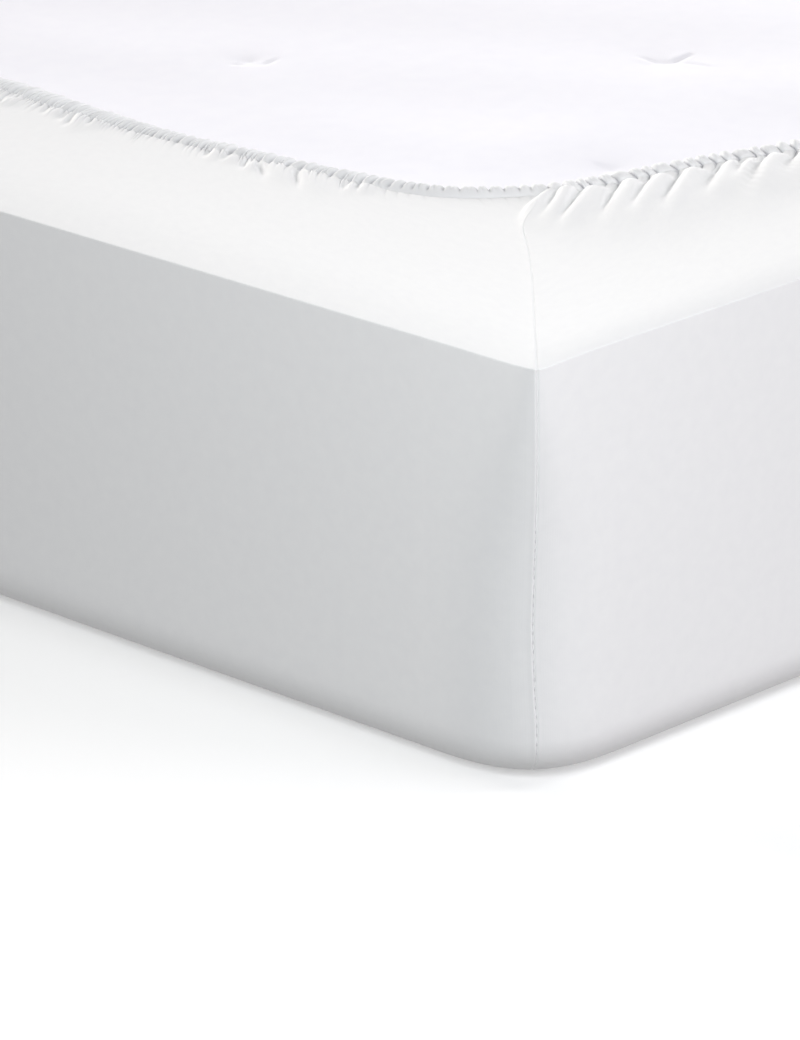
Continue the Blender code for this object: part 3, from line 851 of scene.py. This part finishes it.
def buildSheet():
    places, *gathers = planColumns()
    rng = random.Random(hem["seed"] + 1)
    folds = cornerLobes(rng) + straightLobes(rng)
    hemRows, hemPaintedShade = shapeHem(places, *gathers, folds)
    fromSeam = np.abs(runFromCorner(places)[1])
    dense = len(places)
    chosen = (np.arange(dense) % sheet["bodyEvery"] == 0) | (fromSeam < sheet["bodyNear"])
    bodyPlaces = places[chosen]
    rings = bandRings(bodyPlaces, folds)
    coarse = len(bodyPlaces)
    start = dense * len(hemRows)
    hemIndex = [np.arange(dense) + row * dense for row in range(len(hemRows))]
    ringIndex = [np.arange(coarse) + start + row * coarse for row in range(len(rings))]

    # the sleeping panel's middle, which lies on the floor
    few = np.arange(0, coarse, sheet["panelEvery"])
    panel = rings[-1][few] * sheet["panelShrink"]
    points = np.concatenate(hemRows + rings + [panel])
    panelIndex = np.arange(len(few)) + start + coarse * len(rings)

    # cloth coordinates in metres: along the walls, and up from the heel
    wallRun = lengthsAlong(outline(places, 0.0, sheet["floorPower"]))
    uvs = np.zeros((len(points), 2))

    def layCloth(rows, indices, along, climb):
        for row in range(len(rows) - 1, -1, -1):
            if row < len(rows) - 1:
                climb = climb + np.linalg.norm(rows[row] - rows[row + 1], axis=1)
            uvs[indices[row]] = np.column_stack((along, climb))
        return climb

    climb = layCloth(rings, ringIndex, wallRun[chosen], np.zeros(coarse))
    layCloth(hemRows, hemIndex, wallRun, np.interp(places, bodyPlaces, climb) + 0.008)
    uvs[panelIndex] = np.column_stack((wallRun[chosen][few], np.full(len(few), -0.1)))
    # painted shade per point; only the hem's rows carry any
    paintedShadePerPoint = np.zeros(len(points))
    paintedShadePerPoint[:len(hemPaintedShade)] = hemPaintedShade

    hemBlocks = [ringQuads(*pair) for pair in zip(hemIndex, hemIndex[1:])]
    zipped = np.array(zipRings(hemIndex[-1], places, ringIndex[0], bodyPlaces))
    bodyBlocks = [ringQuads(*pair) for pair in zip(ringIndex, ringIndex[1:])]
    bodyBlocks.append(np.array(zipRings(ringIndex[-1], bodyPlaces, panelIndex, bodyPlaces[few])))
    normals = pointNormals(points, hemBlocks + [zipped] + bodyBlocks)

    body = meshPiece("sheet_body", points, bodyBlocks + [[panelIndex.tolist()]], uvs, normals, paintedShadePerPoint)
    # one hem piece round each corner, parted at the middles of the sides
    owner = (places + 0.5) % 8 // 2
    zipOwner = owner[zipped[:, 0] - hemIndex[-1][0]]
    pieces = []
    names = ("hem_front_left", "hem_front_right", "hem_back_right", "hem_back_left")
    for index, name in enumerate(names):
        blocks = [block[owner == index] for block in hemBlocks] + [zipped[zipOwner == index]]
        pieces.append(meshPiece(name, points, blocks, uvs, normals, paintedShadePerPoint))
    return body, pieces, hemRows, bodyPlaces, rings


sheetBody, hemPieces, hemRows, bodyPlaces, bodyRings = buildSheet()
print("sheet made:", [(piece.name, len(piece.data.polygons)) for piece in [sheetBody] + hemPieces])


# The mattress, its underside up
mattress = {
    "halfWidth": 0.4434,
    "halfLength": 0.9934,
    "base": 0.0019,           # height of the lower face
    "top": 0.1972,
    "radius": 0.074,          # of the corners seen from above
    "heel": 0.030,            # radius of the lower edge
    "brow": 0.018,            # radius of the upper edge
    "browDrop": 0.0062,       # how far below the top that edge ends
    # how much lower the top lies at the walls and again at the corners, each with its reach
    "slope": (0.0045, 0.105),
    "tip": (0.002, 0.20),
    "crown": 0.0024,          # how far the middle rises
    "crownWay": (-0.012, 0.090),  # where it rises, from the hem's inner edge inwards
    # soft unevenness: its height, and its pace and start across and along
    "soft": (0.0007, (41.9, 0.6), (26.4, 1.0)),
    "step": 0.0085,           # between two points
    "fineReach": 0.027,       # how far from a tuft the cloth's points lie close
    "fineCuts": 4,
    "tufted": (0.36, 0.94),   # how far out the tufts are pressed in, across and along
}
# Tufts near the photographed corner lie where they show; the others follow their rows.
# Columns: across and along, in metres from the middle of the mattress.
tuftSpots = [(-0.2085, -0.8245), (-0.199, -0.579), (-0.057, -0.725)]
tuftRows = {
    "first": (-0.201, -0.817),
    "across": 0.150,
    "along": 0.119,
    "sway": 0.004,            # how far a tuft can lie off its row
    "limits": (0.27, 0.84),
    "apart": 0.06,            # how far they keep from the tufts that show
}
# Their creases, in millimetres from the tuft. Columns: tuft, start, end, depth.
tuftCreases = (
    (0, (1, 11), (0, 2), 0.6),
    (1, (-7, -2), (-12, 3), 0.8),
    (1, (0, -9), (15, -6), 0.8),
    (2, (-3, 3), (-1, 17), 1.0),
    (2, (3, -3), (25, 0), 1.0),
    (2, (5, -8), (8, -32), 0.4),
)
tuft = {
    "window": 0.075,          # a tuft is felt no further than this
    "dip": 0.0012,
    "dipReach": 0.007,
    "dipPower": 1.4,
    "hollow": 0.0005,
    "hollowReach": 0.026,
    "creaseWidth": 0.0009,
    "rimAt": 0.004,           # the soft rim beside a crease
    "rimWidth": 0.0025,
}


def allTufts():
    spots = list(tuftSpots)
    rng = random.Random(3)
    sway = tuftRows["sway"]
    for row in range(-1, 20):
        for column in range(-1, 8):
            if (row + column) % 2:
                continue
            x = tuftRows["first"][0] + column * tuftRows["across"] + rng.uniform(-sway, sway)
            y = tuftRows["first"][1] + row * tuftRows["along"] + rng.uniform(-sway, sway)
            if abs(x) > tuftRows["limits"][0] or abs(y) > tuftRows["limits"][1]:
                continue
            if min(math.hypot(x - a, y - b) for a, b in tuftSpots) > tuftRows["apart"]:
                spots.append((x, y))
    return spots


def tuftField(x, y):
    # Each tuft draws the cloth down into a small dimple with a few sharp creases.
    total = np.zeros(x.shape)
    rng = random.Random(5)
    for index, (a, b) in enumerate(allTufts()):
        dx, dy = x - a, y - b
        near = (np.abs(dx) < tuft["window"]) & (np.abs(dy) < tuft["window"])
        u, v = dx[near], dy[near]
        far = np.hypot(u, v)
        dip = -tuft["dip"] * np.exp(-(far / tuft["dipReach"]) ** tuft["dipPower"])
        dip -= tuft["hollow"] * np.exp(-(far / tuft["hollowReach"]) ** 2)
        source, turn = index, 0.0
        if index >= len(tuftSpots):
            source, turn = rng.randrange(len(tuftSpots)), rng.uniform(-0.5, 0.5)
        for owner, start, end, depth in tuftCreases:
            if owner != source:
                continue
            turned = complex(math.cos(turn), math.sin(turn))
            first, last = (complex(*spot) * turned / 1000 for spot in (start, end))
            length = abs(last - first)
            way = (last - first) / length
            along = (u - first.real) * way.real + (v - first.imag) * way.imag
            across = (v - first.imag) * way.real - (u - first.real) * way.imag
            fade = smoothStep(along, -0.003, 0.003)
            fade *= 1.0 - smoothStep(along, length * 0.4, length * 1.1)
            # the rim is two sevenths as high as the crease is deep
            dip -= depth / 1000 * fade * bell(across / tuft["creaseWidth"])
            dip += depth / 3500 * fade * bell((across - tuft["rimAt"]) / tuft["rimWidth"])
        total[near] += dip
    return total


def mattressTop(x, y):
    fromLong = sheet["width"] / 2 - np.abs(x)
    fromShort = sheet["length"] / 2 - np.abs(y)
    drop, reach = mattress["slope"]
    under = mattress["top"] - drop * (1.0 - smoothStep(np.minimum(fromLong, fromShort), 0.0, reach))
    drop, reach = mattress["tip"]
    under -= drop * np.maximum(0.0, 1.0 - np.maximum(fromLong, fromShort) / reach) ** 2
    # the crown rises from the hem's inner edge
    first = int(np.argmin(hemValues[:, 0]))
    edgeShort = np.interp(fromLong, hemValues[first:, 0], hemValues[first:, 1])
    edgeLong = np.interp(-fromShort, -hemValues[:, 1], hemValues[:, 0])
    inside = smoothStep(np.minimum(fromShort - edgeShort, fromLong - edgeLong), *mattress["crownWay"])
    height, (paceX, startX), (paceY, startY) = mattress["soft"]
    soft = height * np.sin(x * paceX + startX) * np.sin(y * paceY + startY) * inside
    return under + mattress["crown"] * inside + soft


def roundCorners(x, y):
    # Draws the corners of a straight grid in to quarter circles.
    centreX = mattress["halfWidth"] - mattress["radius"]
    centreY = mattress["halfLength"] - mattress["radius"]
    overX = np.abs(x) - centreX
    overY = np.abs(y) - centreY
    both = (overX > 0) & (overY > 0)
    shrink = np.maximum(overX, overY) / np.maximum(np.hypot(overX, overY), 1e-9)
    roundX = np.where(both, np.copysign(centreX + overX * shrink, x), x)
    roundY = np.where(both, np.copysign(centreY + overY * shrink, y), y)
    return roundX, roundY


def buildMattress():
    halves = mattress["halfWidth"], mattress["halfLength"]
    across, along = counts = [int(2 * half / mattress["step"]) for half in halves]
    base, heel, brow = mattress["base"], mattress["heel"], mattress["brow"]
    crest = mattress["top"] - mattress["browDrop"]
    bm = bmesh.new()

    def gridLines(inset):
        return [np.linspace(inset - half, half - inset, count) for half, count in zip(halves, counts)]

    def addQuads(lower, upper, count):
        for index in range(count):
            after = (index + 1) % len(lower)
            bm.faces.new((lower[index], lower[after], upper[after], upper[index]))

    # the way round the grid's rim, by row and column
    keys = [(0, column) for column in range(across - 1)]
    keys += [(row, across - 1) for row in range(along - 1)]
    keys += [(along - 1, column) for column in range(across - 1, 0, -1)]
    keys += [(row, 0) for row in range(along - 1, 0, -1)]
    rowsAt, columnsAt = np.array(keys).T
    # inset and height of each ring, from the lower face up
    sections = []
    for degrees in (0, 20, 40, 60, 76, 90):
        angle = math.radians(degrees)
        sections.append((heel * (1 - math.sin(angle)), base + heel * (1 - math.cos(angle))))
    for share in (0.35, 0.65):
        sections.append((0.0, base + heel + share * (crest - brow - base - heel)))
    for degrees in (0, 22, 45, 68):
        angle = math.radians(degrees)
        sections.append((brow * (1 - math.cos(angle)), crest - brow * (1 - math.sin(angle))))
    rings = []
    for inset, height in sections:
        lineX, lineY = gridLines(inset)
        ring = zip(*roundCorners(lineX[columnsAt], lineY[rowsAt]))
        rings.append([bm.verts.new((x, y, height)) for x, y in ring])
    topX, topY = roundCorners(*np.meshgrid(*gridLines(brow)))
    topZ = mattressTop(topX, topY)
    grid = [[bm.verts.new(spot) for spot in zip(*line)] for line in zip(topX, topY, topZ)]
    rings.append([grid[row][column] for row, column in keys])
    bm.faces.new(list(reversed(rings[0])))
    for lower, upper in zip(rings, rings[1:]):
        addQuads(lower, upper, len(keys))
    for lower, upper in zip(grid, grid[1:]):
        addQuads(lower, upper, across - 1)
    # closer points round the tufts, and then their dimples
    reach = mattress["fineReach"]
    spots = allTufts()
    fine = {vert for line in grid for vert in line
            if any(abs(vert.co.x - a) < reach and abs(vert.co.y - b) < reach for a, b in spots)}
    edges = [edge for edge in bm.edges if all(vert in fine for vert in edge.verts)]
    bmesh.ops.subdivide_edges(bm, edges=edges, cuts=mattress["fineCuts"], use_grid_fill=True)
    limitX, limitY = mattress["tufted"]
    raised = [vert for vert in bm.verts
              if vert.co.z > crest and abs(vert.co.x) < limitX and abs(vert.co.y) < limitY]
    spread = np.array([vert.co[:2] for vert in raised]).T
    for vert, height in zip(raised, mattressTop(*spread) + tuftField(*spread)):
        vert.co.z = height
    mesh = bpy.data.meshes.new("mattress_block")
    bm.to_mesh(mesh)
    bm.free()
    smoothAll(mesh)
    mesh.materials.append(tickingFinish)
    return addObject("mattress_block", mesh)


mattressBlock = buildMattress()
print("mattress made:", len(mattressBlock.data.polygons))


# Sewing: thread stitches along the hem and down the corner seams, in metres
stitching = {
    "hem": {"Pitch": 0.0033, "Stitch Length": 0.0025, "Stitch Width": 0.00045, "Seed": 4},
    "seam": {"Pitch": 0.0042, "Stitch Length": 0.0020, "Stitch Width": 0.00044, "Seed": 9},
    "turn": 0.12,             # how far a stitch lies askew, in radians
    "lift": 0.00008,          # how far the thread stands off the cloth
    "seamFrom": 0.012,
    "seamTo": 0.130,          # above this height the seam's lip closes over the thread
}


def makeStitchTree():
    # Thread stitches at even steps along an edge line.
    tree = bpy.data.node_groups.new("stitchRun", "GeometryNodeTree")
    sockets = (("Geometry", "Geometry"), ("Pitch", "Float"), ("Stitch Length", "Float"),
               ("Stitch Width", "Float"), ("Seed", "Int"), ("Thread", "Material"))
    for name, kind in sockets:
        tree.interface.new_socket(name, in_out="INPUT", socket_type="NodeSocket" + kind)
    tree.interface.new_socket("Geometry", in_out="OUTPUT", socket_type="NodeSocketGeometry")
    given = addNode(tree, "NodeGroupInput")
    line = addNode(tree, "GeometryNodeMeshToCurve", [(given, "Geometry", "Mesh")])
    spots = addNode(tree, "GeometryNodeCurveToPoints",
                    [(line, "Curve", "Curve"), (given, "Pitch", "Length")], mode="LENGTH")
    ball = addNode(tree, "GeometryNodeMeshUVSphere", Segments=6, Rings=3, Radius=0.5)
    sizes = addNode(tree, "ShaderNodeCombineXYZ",
                    [(given, "Stitch Length", "X"), (given, "Stitch Width", "Y"),
                     (given, "Stitch Width", "Z")])
    stitch = addNode(tree, "GeometryNodeTransform",
                     [(ball, "Mesh", "Geometry"), (sizes, "Vector", "Scale")])
    aim = addNode(tree, "FunctionNodeAlignRotationToVector", [(spots, "Tangent", "Vector")], axis="X")
    chance = addNode(tree, "FunctionNodeRandomValue", [(given, "Seed", "Seed")], data_type="FLOAT")
    chance.inputs[2].default_value = -stitching["turn"]
    chance.inputs[3].default_value = stitching["turn"]
    turned = addNode(tree, "ShaderNodeCombineXYZ", [(chance, 1, "Z")])
    askew = addNode(tree, "FunctionNodeEulerToRotation", [(turned, "Vector", "Euler")])
    heading = addNode(tree, "FunctionNodeRotateRotation",
                      [(aim, "Rotation", "Rotation"), (askew, "Rotation", "Rotate By")],
                      rotation_space="LOCAL")
    copies = addNode(tree, "GeometryNodeInstanceOnPoints",
                     [(spots, "Points", "Points"), (stitch, "Geometry", "Instance"),
                      (heading, "Rotation", "Rotation")])
    real = addNode(tree, "GeometryNodeRealizeInstances", [(copies, "Instances", "Geometry")])
    painted = addNode(tree, "GeometryNodeSetMaterial",
                      [(real, "Geometry", "Geometry"), (given, "Thread", "Material")])
    addNode(tree, "NodeGroupOutput", [(painted, "Geometry", "Geometry")])
    return tree


def sewLines(name, lines, closed, sizes, tree):
    # One piece of stitches along lines of points.
    points, edges = [], []
    for line in lines:
        first = len(points)
        points += [tuple(point) for point in line]
        edges += [(index, index + 1) for index in range(first, len(points) - 1)]
        if closed:
            edges.append((len(points) - 1, first))
    mesh = bpy.data.meshes.new(name + "_line")
    mesh.from_pydata(points, edges, [])
    piece = addObject(name, mesh)
    modifier = piece.modifiers.new("stitches", "NODES")
    modifier.node_group = tree
    given = dict(sizes, Thread=threadFinish)
    for socket in tree.interface.items_tree:
        if socket.in_out == "INPUT" and socket.name in given:
            modifier[socket.identifier] = given[socket.name]
    shape = bpy.data.meshes.new_from_object(piece.evaluated_get(bpy.context.evaluated_depsgraph_get()))
    piece.modifiers.remove(modifier)
    piece.data = shape
    shape.name = name
    smoothAll(shape)
    return piece


def sewSheet():
    tree = makeStitchTree()
    raised = (0.0, 0.0, stitching["lift"])
    hemLine = sewLines("hem_stitches", [hemRows[stitchRow] + raised], True, stitching["hem"], tree)
    lines = []
    for corner, seam in enumerate(seamPlaces):
        column = int(np.argmin(np.abs(bodyPlaces - seam)))
        line = np.array([ring[column] for ring in bodyRings])
        line = line[(line[:, 2] > stitching["seamFrom"]) & (line[:, 2] < stitching["seamTo"])]
        line[:, 0] += cornerSignX[corner] * stitching["lift"]
        line[:, 1] += cornerSignY[corner] * stitching["lift"]
        lines.append(line)
    return [hemLine, sewLines("seam_stitches", lines, False, stitching["seam"], tree)]


sewing = sewSheet()
print("sewn:", [(piece.name, len(piece.data.polygons)) for piece in sewing])


# Floor, light
room = {
    "floorHalf": 60.0,
    "floorLevel": -0.0004,
    "floorColour": "F4F4F4",
    "floorGlow": 0.136,
    "world": 0.128,
    "below": 1.15,            # light from straight below
    "belowFrom": (-0.98, -0.60),  # how steeply down it is full, and where it is gone
    "aim": (-0.45, -1.0, 0.1),
}
# The soft lights round the corner that shows. Columns: compass direction seen from the
# corner, height above level, distance, width of the softbox, power, colour.
softLights = {
    "backSoftbox": (90.0, 12.0, 9.0, 4.0, 1030.0, "FFFBF7"),
    "rightBackSoftbox": (30.0, 12.0, 4.5, 2.0, 98.0, "FFFFFF"),
    "rightSoftbox": (-30.0, 35.0, 4.5, 2.0, 65.0, "FFFFFF"),
    "frontRightSoftbox": (-60.0, 12.0, 4.5, 2.0, 76.0, "FFFAFF"),
    "nearSoftbox": (-146.0, 35.0, 1.5, 0.8, 19.2, "FAFDFF"),
}


def makeFloor():
    half, level = room["floorHalf"], room["floorLevel"]
    mesh = bpy.data.meshes.new("floor")
    corners = [(x * half, y * half, level) for x, y in ((-1, -1), (1, -1), (1, 1), (-1, 1))]
    mesh.from_pydata(corners, [], [(0, 1, 2, 3)])
    material, shader = newMaterial("whiteFloor", room["floorColour"], 0.9)
    shader.inputs["Emission Color"].default_value = (1.0, 1.0, 1.0, 1.0)
    shader.inputs["Emission Strength"].default_value = room["floorGlow"]
    mesh.materials.append(material)
    floor = addObject("floor", mesh)
    floor.visible_diffuse = False
    floor.visible_shadow = False


def addSoftLight(name, compass, rise, distance, size, power, colour):
    data = bpy.data.lights.new(name, "AREA")
    data.shape = "SQUARE"
    data.size = size
    data.energy = power
    data.color = linearColour(colour)[:3]
    light = addObject(name, data)
    turn, tilt = math.radians(compass), math.radians(rise)
    heading = Vector((math.cos(turn) * math.cos(tilt), math.sin(turn) * math.cos(tilt), math.sin(tilt)))
    light.location = Vector(room["aim"]) + heading * distance
    light.rotation_euler = (-heading).to_track_quat("-Z", "Y").to_euler()
    light.visible_camera = False


def lightRoom():
    # A dim even room, with the white floor's own light coming up from straight below.
    world = bpy.data.worlds.new("studio")
    world.use_nodes = True
    tree = world.node_tree
    background = tree.nodes["Background"]
    background.inputs["Color"].default_value = (1.0, 1.0, 1.0, 1.0)
    place = addNode(tree, "ShaderNodeTexCoord")
    parts = addNode(tree, "ShaderNodeSeparateXYZ", [(place, "Generated", "Vector")])
    steepest, least = room["belowFrom"]
    limits = {"From Min": steepest, "From Max": least, "To Min": room["below"], "To Max": room["world"]}
    strength = addNode(tree, "ShaderNodeMapRange", [(parts, "Z", "Value")],
                       interpolation_type="SMOOTHSTEP", **limits)
    joinTo(tree, strength, "Result", background, "Strength")
    bpy.context.scene.world = world
    for name, row in softLights.items():
        addSoftLight(name, *row)


makeFloor()
lightRoom()
bpy.context.scene.view_settings.view_transform = "Standard"
print("room made")


# What stands for what
for piece in [sheetBody] + hemPieces + sewing:
    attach(piece, "root")
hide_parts("fitted_sheet")
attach(mattressBlock, "root")
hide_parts("mattress")
